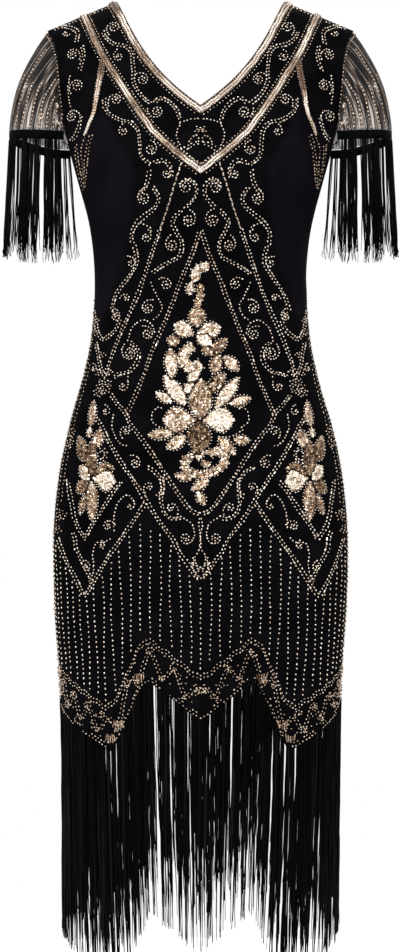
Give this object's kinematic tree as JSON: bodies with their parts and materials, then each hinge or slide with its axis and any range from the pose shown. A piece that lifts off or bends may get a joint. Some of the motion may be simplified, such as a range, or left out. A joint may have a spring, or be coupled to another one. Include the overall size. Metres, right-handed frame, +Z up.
{
  "type": "flapper dress",
  "caption": "Knee-length beaded flapper dress with a V neck, sheer fringed cap sleeves, a zigzag hem and long hem fringe, filled out as worn.",
  "frame": {"origin": "midway between the two points where the neckline meets the shoulder line, on the plane of the side seams", "axes": "+Z up, the front of the dress faces -Y, +X towards the wearer's left"},
  "size_m": [0.447, 0.2401, 1.1064],
  "materials": {
    "beaded_cloth": "fine black net over black lining cloth, with champagne beads and sequins sewn on",
    "gold_trim": "champagne-gold sequins and beads, glossy and metallic",
    "sleeve_net": "sheer black net with rows of gold and black beads",
    "fringe_tape": "matt black woven tape at the head of the sleeve fringe",
    "fringe": "black chainette fringe with a soft rayon sheen"
  },
  "bodies": {
    "root": {"front_panel": "beaded_cloth", "back_panel": "beaded_cloth", "neck_trim_front": "gold_trim", "neck_trim_back": "gold_trim", "yoke_trim_front": "gold_trim", "yoke_trim_back": "gold_trim", "armhole_trim_front_left": "gold_trim", "armhole_trim_front_right": "gold_trim", "armhole_trim_back_left": "gold_trim", "armhole_trim_back_right": "gold_trim", "sleeve_left": "sleeve_net", "sleeve_right": "sleeve_net", "sleeve_tape_left": "fringe_tape", "sleeve_tape_right": "fringe_tape", "sleeve_fringe_left": "fringe", "sleeve_fringe_right": "fringe", "hem_fringe_front": "fringe", "hem_fringe_back": "fringe"}
  },
  "joints": []
}
